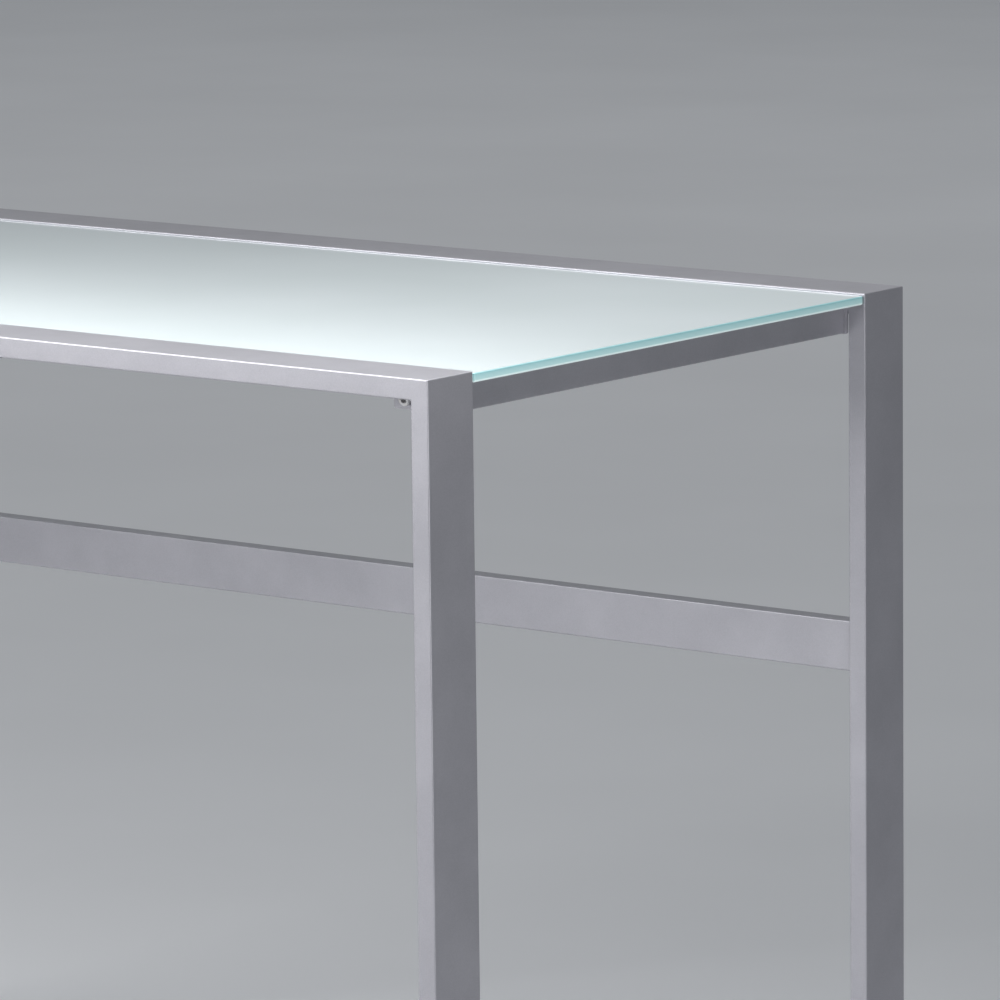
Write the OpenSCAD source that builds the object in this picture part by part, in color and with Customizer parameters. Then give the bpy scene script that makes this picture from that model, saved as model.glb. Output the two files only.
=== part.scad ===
// Computer desk with a glass top, a silver flat-tube frame and a sliding keyboard tray.
// +X is the sitter's right, -Y the front, +Z up. The origin is on the floor, under the middle of the desk.

/* [Desk] */
// Length of the desk, left to right
desk_l = 1200; // [1100:10:1400]
// Depth of the desk, front to back
desk_d = 570; // [560:5:700]
// Height of the desk
desk_h = 750; // [700:5:780]

/* [Frame tube] */
// Wide side of the flat steel tube
tube_a = 50; // [40:1:60]
// Narrow side of the flat steel tube
tube_b = 15; // [14:0.5:20]
// Wall of every steel tube
wall = 1.2; // [1:0.1:1.5]
// Radius of the tube's long edges
tube_r = 1; // [0.8:0.1:2]
// Height of the rear stretcher
stretcher_h = 38; // [30:1:50]
// Drop from the top of the desk to the rear stretcher
stretcher_drop = 250; // [200:5:320]

/* [Glass top] */
// Thickness of the tempered glass
glass_t = 6.5; // [5:0.5:8]
// How far the glass lies below the top of the frame
glass_drop = 1.6; // [0.5:0.1:3]
// How far the glass ends inside the outer faces of the legs
glass_inset = 0.5; // [0:0.5:6]
// Gap between the glass and the front and rear rails
glass_gap = 1.5; // [1:0.1:3]
// Corner radius of the glass
glass_r = 1.5; // [1:0.5:8]

/* [Cross rails] */
// Drop from the top of the desk to the top of the cross rails
cross_drop = 10.6; // [9:0.1:14]
// Height of the cross rails
cross_h = 20; // [15:0.5:22]
// How far a side rail sits inside the outer face of the legs
cross_inset = 17; // [17:0.5:30]
// Diameter of the clear glass pads
pad_d = 18; // [12:1:24]

/* [Frame bolts] */
// Thickness of the welded tabs
tab_t = 3; // [2:0.5:4]
// Distance between the two bolts of a joint
bolt_pitch = 28; // [24:1:30]
// How far the bolts sit below the middle of the cross rails
bolt_drop = 2.5; // [0:0.5:3]
// Length of the bolts under the head
bolt_len = 13; // [11:1:16]

/* [Keyboard tray] */
// Depth of the tray, front to back
tray_d = 320; // [300:5:360]
// Gap between the front of the desk and the front of the tray
tray_setback = 14; // [6:1:30]
// Drop from the top of the desk to the glass of the tray
tray_drop = 55.2; // [52:0.1:70]
// Height of the side and rear bars of the tray
tray_bar_h = 25; // [24:1:27]
// Thickness of the tray's glass
tray_glass_t = 5; // [4:0.5:6]
// Length of the slides
slide_len = 280; // [270:10:300]
// How far the tray slides out
tray_travel = 200; // [150:5:200]
// Height of the fixed member of a slide
slide_h = 32; // [30:1:34]

/* [Feet] */
// Thickness of the foot cap under the leg
foot_t = 6; // [3:1:10]

/* [Hidden] */

$fn = 48;
eps = 0.01;
fit = 0.2;             // clearance of a part that is pushed into a tube

x_out = desk_l / 2;
y_out = desk_d / 2;
x_in = x_out - tube_b; // inner face of the legs
y_in = y_out - tube_a; // inner face of the front and rear frames
z_rail = desk_h - tube_b / 2;

// Cross rails, and the two bolts at each of their ends
cross_z = desk_h - cross_drop - cross_h / 2;
bolt_z = cross_z - bolt_drop;
side_x = x_out - cross_inset - tube_a / 2;
cross_xs = [side_x, 0, -side_x];
cross_len = 2 * (y_in - tab_t);
tab_w = 2 * (x_in - side_x);
tab_top = desk_h - glass_drop - glass_t - 0.5;
tab_bottom = cross_z - cross_h / 2 - 0.3;
bolt_xs = [for (x = cross_xs, s = [-1, 1]) x + s * bolt_pitch / 2];
bolt_d = 6;
head_d = 10;
head_h = 6;
plate_t = 5;

// Glass and its pads
glass_z = desk_h - glass_drop - glass_t;
pad_h = glass_z - (cross_z + cross_h / 2);
pad_ys = [-180, 0, 180];

// Slides: the fixed member hangs from the hangers, the inner member carries the tray
slide_t = 12.7;
slide_z = desk_h - cross_drop - cross_h - 6 - slide_h / 2;    // centre line of the slides
slide_wall = 1.2;
ball_d = 4;
ball_gap = 0.3;
slide_y = -cross_len / 2 + 2;                            // front end of the slides
inner_h = slide_h - 2 * slide_wall - 2 * ball_d - 4 * ball_gap;
bumper_t = 4;
inner_len = slide_len - bumper_t - 0.4;
cage_y = slide_y + tray_travel / 2 + 0.5;                // a cage moves half as far as the tray
cage_len = inner_len - tray_travel - 1.6;
ball_x = slide_t / 2 - 0.6;                              // the balls run in two rows
ball_z = inner_h / 2 + ball_gap + ball_d / 2;
balls = 7;
ball_ys = [for (i = [0:balls - 1]) cage_y + 7 + i * (cage_len - 14) / (balls - 1)];
hanger_t = 2;
hanger_z = desk_h - cross_drop - cross_h;                // underside of the cross rails
right_wall_x = -37;                                      // tray side of the right hanger
left_wall_x = -side_x - 1;                               // tray side of the left hanger
right_flange_w = 32;
left_flange_w = 24;
right_screw_x = -14;
left_screw_x = left_wall_x - 13;
screw_ys = [slide_y + 30, slide_y + slide_len / 2, slide_y + slide_len - 30];
slides = [[right_wall_x, 1], [left_wall_x, -1]];         // place of the hanger's wall, way from the tray

// Tray
tray_x1 = right_wall_x - slide_t;                        // right face of the tray
tray_x0 = left_wall_x + slide_t;                         // left face of the tray
tray_mid = (tray_x0 + tray_x1) / 2;
tray_w = tray_x1 - tray_x0;
bar_t = 10;
tray_y = -y_out + tray_setback;                          // front face of the tray
bar_z = slide_z;
bar_bottom = bar_z - tray_bar_h / 2;
tray_glass_z = desk_h - tray_drop - tray_glass_t;
front_bar_d = 20;
front_bar_h = desk_h - tray_drop - bar_bottom + 1;
ledge_t = 2;
tray_pad_h = 1.5;
ledge_z = tray_glass_z - tray_pad_h - ledge_t;
ledge_w = 34;
ledge_reach = 16;
ledge_xs = [tray_x0 + bar_t + 60, tray_mid, tray_x1 - bar_t - 60];
ledge_front_y = tray_y + front_bar_d;
ledge_rear_y = tray_y + tray_d - bar_t;
inner_screw_ys = [slide_y + 18, slide_y + inner_len - 18];

metal = "silver";
zinc = "gainsboro";
frosted = [0.84, 0.9, 0.9];
clear = [0.9, 0.92, 0.94];
black = [0.1, 0.1, 0.11];

// ---------------------------------------------------------------- shapes

// A rectangle of a by b with round corners, centred
module round_rect(a, b, r) {
    square([a - 2 * r, b], center = true);
    square([a, b - 2 * r], center = true);
    for (x = [-1, 1], y = [-1, 1])
        translate([x * (a / 2 - r), y * (b / 2 - r)]) circle(r);
}

// Section of a welded steel tube
module tube_section(a, b, r = tube_r) {
    difference() {
        round_rect(a, b, r);
        round_rect(a - 2 * wall, b - 2 * wall, max(r - wall, 0.3));
    }
}

// Straight tubes: the first size is across the tube's other horizontal side, the second across the last one
module tube_along_x(len, across_y, across_z, r = tube_r)
    rotate([90, 0, 90]) linear_extrude(len, center = true) tube_section(across_y, across_z, r);

module tube_along_y(len, across_x, across_z, r = tube_r)
    rotate([90, 0, 0]) linear_extrude(len, center = true) tube_section(across_x, across_z, r);

module tube_along_z(len, across_x, across_y, r = tube_r)
    linear_extrude(len) tube_section(across_x, across_y, r);

// Outline of a welded frame seen from the front, with its top corners ground round
module frame_outline() {
    translate([-x_out, 0]) square([desk_l, desk_h - tube_r]);
    translate([-x_out + tube_r, 0]) square([desk_l - 2 * tube_r, desk_h]);
    for (s = [-1, 1]) translate([s * (x_out - tube_r), desk_h - tube_r]) circle(tube_r);
}

// The wedge of a frame that belongs to the top rail, between its two mitres
module rail_wedge() {
    polygon([
        [-x_out - 1, desk_h + 1], [x_out + 1, desk_h + 1],
        [x_in, desk_h - tube_b], [-x_in, desk_h - tube_b]
    ]);
}

module along_frame(y, depth = tube_a + 2)
    translate([0, y, 0]) rotate([90, 0, 0]) linear_extrude(depth, center = true) children();

// Top rail of a frame, mitred at both ends, with a small weld in each inner corner
module top_rail(y) {
    weld_r = 2.5;
    intersection() {
        translate([0, y, z_rail]) tube_along_x(desk_l, tube_a, tube_b);
        along_frame(y) intersection() {
            frame_outline();
            rail_wedge();
        }
    }
    for (s = [-1, 1])
        along_frame(y, tube_a - 2 * tube_r)
            translate([s * x_in, desk_h - tube_b]) mirror([s > 0 ? 1 : 0, 0]) difference() {
                translate([0, -weld_r]) square(weld_r);
                translate([weld_r, -weld_r]) circle(weld_r);
            }
}

// Leg of a frame, with its mitred top
module leg(side, y) {
    difference() {
        intersection() {
            translate([side * (x_out - tube_b / 2), y, foot_t])
                tube_along_z(desk_h - foot_t, tube_b, tube_a);
            along_frame(y) frame_outline();
        }
        along_frame(y) rail_wedge();
    }
}

// Glide that closes the foot of a leg
module foot(side, y) {
    plug_h = 22;
    translate([side * (x_out - tube_b / 2), y, 0]) {
        linear_extrude(foot_t) round_rect(tube_b, tube_a, tube_r);
        translate([0, 0, foot_t]) linear_extrude(plug_h) difference() {
            round_rect(tube_b - 2 * (wall + fit), tube_a - 2 * (wall + fit), 0.8);
            round_rect(tube_b - 2 * (wall + fit) - 4, tube_a - 2 * (wall + fit) - 4, 0.5);
        }
    }
}

// Cross rail, a flat tube that runs from the front frame to the rear one
module cross_rail(x, screw_x = undef) {
    difference() {
        translate([x, 0, cross_z]) tube_along_y(cross_len, tube_a, cross_h);
        if (screw_x != undef)
            for (y = screw_ys)
                translate([screw_x, y, hanger_z - 1]) cylinder(d = 7.1, h = wall + 2);
    }
}

// Tab welded to the inner face of a rail; side is -1 at the front and 1 at the rear
module tab(x, side) {
    translate([x, side * (y_in - tab_t / 2), (tab_top + tab_bottom) / 2])
        rotate([90, 0, 0]) difference() {
            linear_extrude(tab_t, center = true) round_rect(tab_w, tab_top - tab_bottom, 1.5);
            for (s = [-1, 1])
                translate([s * bolt_pitch / 2, bolt_z - (tab_top + tab_bottom) / 2, 0])
                    cylinder(d = bolt_d + 0.6, h = tab_t + 2, center = true);
        }
}

// Threaded plate in each end of each cross rail
module end_plate(x, side) {
    translate([x, side * (cross_len / 2 - plate_t / 2), cross_z]) rotate([90, 0, 0]) difference() {
        linear_extrude(plate_t, center = true)
            round_rect(tube_a - 2 * (wall + 0.05), cross_h - 2 * (wall + 0.05), 0.9);
        for (s = [-1, 1])
            translate([s * bolt_pitch / 2, -bolt_drop, 0]) cylinder(d = bolt_d, h = plate_t + 2, center = true);
    }
}

// Socket head cap screw along +Z, with the underside of its head at the origin and its shank below
module socket_screw(d, head, head_height, len, key) {
    difference() {
        union() {
            rotate_extrude() polygon([
                [0, 0], [head / 2, 0], [head / 2, head_height - 0.5],
                [head / 2 - 0.5, head_height], [0, head_height]
            ]);
            translate([0, 0, -len]) cylinder(d = d - 0.1, h = len + eps);
        }
        translate([0, 0, head_height / 2])
            cylinder(d = key / cos(30), h = head_height, $fn = 6);
    }
}

// Domed screw with a cross recess, along +Z like the one above
module pan_screw(d, head, head_height, len) {
    difference() {
        union() {
            intersection() {
                cylinder(d = head, h = head_height);
                translate([0, 0, head_height - head * 0.9]) sphere(d = head * 1.8);
            }
            translate([0, 0, -len]) cylinder(d = d - 0.1, h = len + eps);
        }
        for (a = [0, 90])
            rotate(a) translate([-head * 0.26, -0.45, head_height * 0.45])
                cube([head * 0.52, 0.9, head_height]);
    }
}

// Countersunk screw, its flat head level with the origin and its shank below
module flush_screw(d, head, head_height, len) {
    difference() {
        union() {
            translate([0, 0, -head_height]) cylinder(d1 = d - 0.1, d2 = head, h = head_height);
            translate([0, 0, -len]) cylinder(d = d - 0.1, h = len - head_height + eps);
        }
        for (a = [0, 90])
            rotate(a) translate([-head * 0.3, -0.35, -head_height / 2]) cube([head * 0.6, 0.7, head_height]);
    }
}

// Soft pad between glass and steel
module pad(d, h) {
    rotate_extrude() polygon([[0, 0], [d / 2, 0], [d / 2, h * 0.6], [d / 2 - h * 0.3, h], [0, h]]);
}

// ---------------------------------------------------------------- slides and hangers

// Bent hanger: a flange under a cross rail and a wall down beside the slide. dir points away from the tray.
module hanger(wall_x, dir, flange_w, screw_x) {
    wall_h = hanger_z - (slide_z - slide_h / 2);
    difference() {
        translate([wall_x, slide_y, hanger_z]) mirror([dir > 0 ? 0 : 1, 0, 0]) {
            translate([0, 0, -hanger_t]) cube([flange_w, slide_len, hanger_t]);
            translate([0, 0, -wall_h]) cube([hanger_t, slide_len, wall_h]);
        }
        for (y = screw_ys) {
            translate([screw_x, y, hanger_z - hanger_t - 1]) cylinder(d = 5.4, h = hanger_t + 2);
            translate([wall_x - 5, y, slide_z]) rotate([0, 90, 0]) cylinder(d = 4.4, h = 10);
        }
    }
}

// Section of the fixed slide member: a channel open towards -X, its web at x = 0
module outer_section() {
    lip = 3;
    mouth = slide_t - 3;
    difference() {
        translate([-mouth, -slide_h / 2]) square([mouth, slide_h]);
        translate([-mouth + slide_wall, -slide_h / 2 + slide_wall])
            square([mouth - 2 * slide_wall, slide_h - 2 * slide_wall]);
        translate([-mouth - 1, -slide_h / 2 + lip]) square([mouth - 2 * slide_wall, slide_h - 2 * lip]);
    }
}

// Section of the moving slide member: a channel open towards +X, its web at x = -slide_t
module inner_section() {
    translate([-slide_t, -inner_h / 2]) square([slide_wall, inner_h]);
    for (s = [-1, 1])
        translate([-slide_t, s > 0 ? inner_h / 2 - slide_wall : -inner_h / 2]) square([9, slide_wall]);
}

// Puts a slide's section in place; dir is 1 for the right slide and -1 for the left
module at_slide(wall_x, dir, y, len)
    translate([wall_x, y, slide_z]) mirror([dir > 0 ? 0 : 1, 0, 0])
        translate([0, len, 0]) rotate([90, 0, 0]) linear_extrude(len) children();

module slide_outer(wall_x, dir) {
    difference() {
        at_slide(wall_x, dir, slide_y, slide_len) outer_section();
        for (y = screw_ys)
            translate([wall_x, y, slide_z]) rotate([0, -dir * 90, 0]) {
                translate([0, 0, -1]) cylinder(d = 4.4, h = slide_wall + 2);
                cylinder(d1 = 4.4, d2 = 7.2, h = slide_wall + eps);
            }
    }
}

module slide_inner(wall_x, dir) {
    difference() {
        at_slide(wall_x, dir, slide_y, inner_len) inner_section();
        for (y = inner_screw_ys)
            translate([wall_x - dir * slide_t - 3, y, slide_z]) rotate([0, 90, 0]) cylinder(d = 4.4, h = 6);
    }
}

// Strip of thin steel that holds the balls of one slide
module ball_cage(wall_x, dir) {
    strip = 0.8;
    low = inner_h / 2 + 0.6;
    back = 1.8;
    difference() {
        at_slide(wall_x, dir, cage_y, cage_len) {
            translate([-back - strip, -low - strip]) square([strip, 2 * (low + strip)]);
            for (s = [0, 1]) mirror([0, s]) {
                translate([-ball_x - strip / 2, low]) square([strip, 3.2]);
                translate([-ball_x, low]) square([ball_x - back, strip]);
            }
        }
        for (y = ball_ys, s = [-1, 1])
            translate([wall_x - dir * ball_x, y, slide_z + s * ball_z]) rotate([0, 90, 0])
                cylinder(d = ball_d + 0.2, h = ball_d + 1, center = true);
    }
}

// ---------------------------------------------------------------- desk

module front_top_rail() { color(metal) top_rail(-y_out + tube_a / 2); }
module rear_top_rail() { color(metal) top_rail(y_out - tube_a / 2); }
module front_right_leg() { color(metal) leg(1, -y_out + tube_a / 2); }
module front_left_leg() { color(metal) leg(-1, -y_out + tube_a / 2); }
module rear_right_leg() { color(metal) leg(1, y_out - tube_a / 2); }
module rear_left_leg() { color(metal) leg(-1, y_out - tube_a / 2); }

module rear_stretcher() {
    color(metal) translate([0, y_out - tube_a / 2, desk_h - stretcher_drop - stretcher_h / 2])
        tube_along_x(2 * x_in, tube_b, stretcher_h);
}

module right_side_rail() { color(metal) cross_rail(side_x); }
module left_side_rail() { color(metal) cross_rail(-side_x, left_screw_x); }
module centre_rail() { color(metal) cross_rail(0, right_screw_x); }

module front_right_tab() { color(metal) tab(side_x, -1); }
module front_left_tab() { color(metal) tab(-side_x, -1); }
module front_centre_tab() { color(metal) tab(0, -1); }
module rear_right_tab() { color(metal) tab(side_x, 1); }
module rear_left_tab() { color(metal) tab(-side_x, 1); }
module rear_centre_tab() { color(metal) tab(0, 1); }

module rail_end_plates() {
    color(zinc) for (x = cross_xs, s = [-1, 1]) end_plate(x, s);
}

module frame_bolts() {
    color(zinc) for (x = bolt_xs, s = [-1, 1])
        translate([x, s * y_in, bolt_z]) rotate([-s * 90, 0, 0])
            socket_screw(bolt_d, head_d, head_h, bolt_len, 5);
}

module glass_pads() {
    color(clear) for (x = cross_xs, y = pad_ys)
        translate([x, y, cross_z + cross_h / 2]) pad(pad_d, pad_h);
}

module glass_top() {
    color(frosted) translate([0, 0, glass_z]) linear_extrude(glass_t)
        round_rect(desk_l - 2 * glass_inset, 2 * (y_in - glass_gap), glass_r);
}

module front_right_foot() { color(black) foot(1, -y_out + tube_a / 2); }
module front_left_foot() { color(black) foot(-1, -y_out + tube_a / 2); }
module rear_right_foot() { color(black) foot(1, y_out - tube_a / 2); }
module rear_left_foot() { color(black) foot(-1, y_out - tube_a / 2); }

// ---------------------------------------------------------------- tray hangers and slides

module right_hanger() { color(metal) hanger(right_wall_x, 1, right_flange_w, right_screw_x); }
module left_hanger() { color(metal) hanger(left_wall_x, -1, left_flange_w, left_screw_x); }

module hanger_screws() {
    color(zinc) for (x = [right_screw_x, left_screw_x], y = screw_ys)
        translate([x, y, hanger_z - hanger_t]) rotate([180, 0, 0]) pan_screw(5, 9.5, 2.8, 12);
}

module rivet_nuts() {
    color(zinc) for (x = [right_screw_x, left_screw_x], y = screw_ys)
        translate([x, y, hanger_z]) difference() {
            cylinder(d = 7, h = 10.5);
            translate([0, 0, -1]) cylinder(d = 5, h = 13);
        }
}

module right_slide_outer() { color(zinc) slide_outer(right_wall_x, 1); }
module left_slide_outer() { color(zinc) slide_outer(left_wall_x, -1); }

// Rubber stops inside the back ends of the fixed members
module slide_bumpers() {
    bumper_w = 7;
    color(black) for (p = slides)
        translate([p[0] - p[1] * (slide_wall + bumper_w / 2), slide_y + slide_len - bumper_t / 2, slide_z])
            cube([bumper_w, bumper_t, inner_h], center = true);
}

module outer_slide_screws() {
    color(zinc) for (p = slides, y = screw_ys)
        translate([p[0] - p[1] * slide_wall, y, slide_z]) rotate([0, -p[1] * 90, 0])
            flush_screw(4, 6.8, slide_wall, slide_wall + hanger_t + 3);
}

module right_ball_cage() { color(zinc) ball_cage(right_wall_x, 1); }
module left_ball_cage() { color(zinc) ball_cage(left_wall_x, -1); }

module slide_balls() {
    color(zinc) for (p = slides, y = ball_ys, s = [-1, 1])
        translate([p[0] - p[1] * ball_x, y, slide_z + s * ball_z]) sphere(d = ball_d);
}

module right_slide_inner() { color(zinc) slide_inner(right_wall_x, 1); }
module left_slide_inner() { color(zinc) slide_inner(left_wall_x, -1); }

// ---------------------------------------------------------------- tray

// Side bar of the tray; dir is 1 on the right and -1 on the left, where the slide's screws go in
module side_bar(x, dir) {
    difference() {
        translate([x, tray_y + tray_d / 2, bar_z]) tube_along_y(tray_d, bar_t, tray_bar_h, 1.5);
        for (y = inner_screw_ys)
            translate([x + dir * bar_t / 2, y, slide_z]) rotate([0, 90, 0])
                cylinder(d = 4.1, h = bar_t / 2, center = true);
    }
}

module inner_slide_screws() {
    color(zinc) for (p = slides, y = inner_screw_ys)
        translate([p[0] - p[1] * (slide_t - slide_wall), y, slide_z]) rotate([0, p[1] * 90, 0])
            pan_screw(4, 7, 1.6, slide_wall + 5);
}

module tray_right_bar() { color(metal) side_bar(tray_x1 - bar_t / 2, 1); }
module tray_left_bar() { color(metal) side_bar(tray_x0 + bar_t / 2, -1); }

module tray_front_bar() {
    color(metal) translate([tray_mid, tray_y + front_bar_d / 2, bar_bottom + front_bar_h / 2])
        tube_along_x(tray_w - 2 * bar_t, front_bar_d, front_bar_h, 1.5);
}

module tray_rear_bar() {
    color(metal) translate([tray_mid, tray_y + tray_d - bar_t / 2, bar_z])
        tube_along_x(tray_w - 2 * bar_t, bar_t, tray_bar_h, 1.5);
}

// Ledges welded to the front and rear bars, which carry the glass of the tray
module tray_ledges() {
    color(metal) for (x = ledge_xs) {
        translate([x - ledge_w / 2, ledge_front_y, ledge_z]) cube([ledge_w, ledge_reach, ledge_t]);
        translate([x - ledge_w / 2, ledge_rear_y - ledge_reach, ledge_z]) cube([ledge_w, ledge_reach, ledge_t]);
    }
}

module tray_pads() {
    inset = 9;
    color(clear) for (x = ledge_xs, y = [ledge_front_y + inset, ledge_rear_y - inset])
        translate([x, y, ledge_z + ledge_t]) pad(10, tray_pad_h);
}

module tray_glass() {
    tray_gap = 1;
    color(frosted) translate([tray_mid, (ledge_front_y + ledge_rear_y) / 2, tray_glass_z])
        linear_extrude(tray_glass_t)
            round_rect(tray_w - 2 * (bar_t + tray_gap), ledge_rear_y - ledge_front_y - 2 * tray_gap, 3);
}

// Plugs that close the open ends of the side bars
module tray_bar_plugs() {
    plug_t = 2;
    stem = 8;
    color(black) for (x = [tray_x0 + bar_t / 2, tray_x1 - bar_t / 2], s = [-1, 1])
        translate([x, tray_y + (s > 0 ? tray_d : 0), bar_z]) rotate([-s * 90, 0, 0]) {
            linear_extrude(plug_t) round_rect(bar_t, tray_bar_h, 1.5);
            translate([0, 0, -stem]) linear_extrude(stem)
                round_rect(bar_t - 2 * (wall + fit), tray_bar_h - 2 * (wall + fit), 0.5);
        }
}

front_top_rail();
front_right_leg();
front_left_leg();
rear_top_rail();
rear_right_leg();
rear_left_leg();
rear_stretcher();
right_side_rail();
left_side_rail();
centre_rail();
front_right_tab();
front_left_tab();
front_centre_tab();
rear_right_tab();
rear_left_tab();
rear_centre_tab();
rail_end_plates();
frame_bolts();
glass_pads();
glass_top();
front_right_foot();
front_left_foot();
rear_right_foot();
rear_left_foot();
right_hanger();
left_hanger();
hanger_screws();
rivet_nuts();
right_slide_outer();
left_slide_outer();
slide_bumpers();
outer_slide_screws();
right_ball_cage();
left_ball_cage();
slide_balls();
right_slide_inner();
left_slide_inner();
inner_slide_screws();
tray_right_bar();
tray_left_bar();
tray_front_bar();
tray_rear_bar();
tray_ledges();
tray_pads();
tray_glass();
tray_bar_plugs();
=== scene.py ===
"""Looks of a glass-topped computer desk with a flat-tube steel frame and a sliding keyboard tray."""

import math

import bmesh
import bpy
import numpy as np
from mathutils import Matrix, Vector


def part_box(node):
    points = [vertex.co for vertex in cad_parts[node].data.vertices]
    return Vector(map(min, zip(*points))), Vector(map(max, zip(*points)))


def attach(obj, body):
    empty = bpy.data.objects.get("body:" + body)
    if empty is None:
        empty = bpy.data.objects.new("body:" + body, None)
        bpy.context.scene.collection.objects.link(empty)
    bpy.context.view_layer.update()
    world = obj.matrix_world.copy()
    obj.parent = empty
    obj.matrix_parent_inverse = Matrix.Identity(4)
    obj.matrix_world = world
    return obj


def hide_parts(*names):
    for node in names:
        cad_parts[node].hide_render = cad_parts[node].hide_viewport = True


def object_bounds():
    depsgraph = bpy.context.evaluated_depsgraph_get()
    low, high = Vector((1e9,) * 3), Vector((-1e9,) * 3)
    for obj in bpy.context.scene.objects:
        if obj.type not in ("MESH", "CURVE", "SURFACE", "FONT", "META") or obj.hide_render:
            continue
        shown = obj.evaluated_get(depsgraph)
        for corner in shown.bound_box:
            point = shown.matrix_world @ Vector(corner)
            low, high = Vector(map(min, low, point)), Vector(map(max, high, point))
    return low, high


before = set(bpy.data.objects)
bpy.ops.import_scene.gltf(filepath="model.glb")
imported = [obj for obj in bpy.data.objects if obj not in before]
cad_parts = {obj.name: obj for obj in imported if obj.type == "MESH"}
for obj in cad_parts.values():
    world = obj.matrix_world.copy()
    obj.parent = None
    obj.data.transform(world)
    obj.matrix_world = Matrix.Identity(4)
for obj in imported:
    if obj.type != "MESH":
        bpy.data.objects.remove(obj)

bl_info = {
    "name": "Glass Computer Desk",
    "version": (1, 0, 0),
    "blender": (4, 5, 0),
    "location": "View3D > Sidebar > Desk",
    "description": "Builds the visible pieces of a glass computer desk around its packed frame",
    "category": "Add Mesh",
}

MM = 0.001
CAD_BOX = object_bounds()

FRAME_NODES = ("front_top_rail", "rear_top_rail")
LEG_NODES = ("front_right_leg", "front_left_leg", "rear_right_leg", "rear_left_leg")
FOOT_NODES = ("front_right_foot", "front_left_foot", "rear_right_foot", "rear_left_foot")
CROSS_RAIL_NODES = ("right_side_rail", "left_side_rail", "centre_rail")
TAB_NODES = (
    "front_right_tab", "front_left_tab", "front_centre_tab",
    "rear_right_tab", "rear_left_tab", "rear_centre_tab",
)


# ------------------------------------------------------------------ settings


def linear(hex_colour):
    """A hex value of sRGB as linear red, green, blue and alpha."""
    parts = [int(hex_colour[i:i + 2], 16) / 255 for i in (1, 3, 5)]
    return tuple(c / 12.92 if c <= 0.04045 else ((c + 0.055) / 1.055) ** 2.4 for c in parts) + (1.0,)


class DeskSizes(bpy.types.PropertyGroup):
    """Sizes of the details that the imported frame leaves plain."""

    tube_radius: bpy.props.FloatProperty(
        name="Tube edge radius", description="Radius of the long edges of the frame tubes",
        default=1.0 * MM, min=0.5 * MM, max=4.0 * MM, subtype="DISTANCE",
    )
    tray_tube_radius: bpy.props.FloatProperty(
        name="Tray tube radius", description="Radius of the long edges of the tray's tubes",
        default=1.5 * MM, min=0.5 * MM, max=3.0 * MM, subtype="DISTANCE",
    )
    tube_wall: bpy.props.FloatProperty(
        name="Tube wall", description="Thickness of the steel, seen at a cut end",
        default=1.2 * MM, min=0.8 * MM, max=2.0 * MM, subtype="DISTANCE",
    )
    weld_radius: bpy.props.FloatProperty(
        name="Corner weld", description="Radius of the weld in the inner corners of the frames",
        default=2.5 * MM, min=1.0 * MM, max=4.0 * MM, subtype="DISTANCE",
    )
    bead_radius: bpy.props.FloatProperty(
        name="Weld bead", description="Radius of the weld beads round the ends of the stretcher",
        default=0.9 * MM, min=0.5 * MM, max=2.0 * MM, subtype="DISTANCE",
    )
    glass_arris: bpy.props.FloatProperty(
        name="Glass arris", description="Width of the ground bevel along the edges of the glass",
        default=0.7 * MM, min=0.2 * MM, max=1.5 * MM, subtype="DISTANCE",
    )
    glass_corner: bpy.props.FloatProperty(
        name="Glass corner", description="Radius of the corners of the glass, seen from above",
        default=1.5 * MM, min=1.0 * MM, max=10.0 * MM, subtype="DISTANCE",
    )
    bend_radius: bpy.props.FloatProperty(
        name="Bend radius", description="Inner radius of the bend in the tray's hangers",
        default=2.0 * MM, min=1.0 * MM, max=4.0 * MM, subtype="DISTANCE",
    )


class DeskFinishes(bpy.types.PropertyGroup):
    """Colours of the desk."""

    silver_light: bpy.props.FloatVectorProperty(
        name="Silver, light", description="Lighter flakes of the silver powder coat",
        default=linear("#b2b1b7"), size=4, subtype="COLOR",
    )
    silver_dark: bpy.props.FloatVectorProperty(
        name="Silver, dark", description="Darker ground of the silver powder coat",
        default=linear("#a5a4aa"), size=4, subtype="COLOR",
    )
    enamel: bpy.props.FloatVectorProperty(
        name="Enamel", description="White enamel on the back of the glass, seen through it",
        default=linear("#e6eff1"), size=4, subtype="COLOR",
    )
    # The two glass edge colours are the glass's own green tint with painted glow: the lit enamel seen through
    # the edge, painted palest next to it.
    edge_glow_deep: bpy.props.FloatVectorProperty(
        name="Glass edge glow, deep", description="Colour of the glass edge just under its top bevel",
        default=linear("#8fc2c6"), size=4, subtype="COLOR",
    )
    edge_glow_pale: bpy.props.FloatVectorProperty(
        name="Glass edge glow, pale", description="Colour of the glass edge near the enamel",
        default=linear("#e4f6f5"), size=4, subtype="COLOR",
    )
    zinc: bpy.props.FloatVectorProperty(
        name="Zinc", description="Zinc plating on screws, slides and cages",
        default=linear("#cfccc8"), size=4, subtype="COLOR",
    )
    pad: bpy.props.FloatVectorProperty(
        name="Pads", description="Clear soft plastic under the glass",
        default=linear("#dfe6e8"), size=4, subtype="COLOR",
    )
    black: bpy.props.FloatVectorProperty(
        name="Black plastic", description="Glides and plugs",
        default=linear("#1b1b1d"), size=4, subtype="COLOR",
    )


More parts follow.
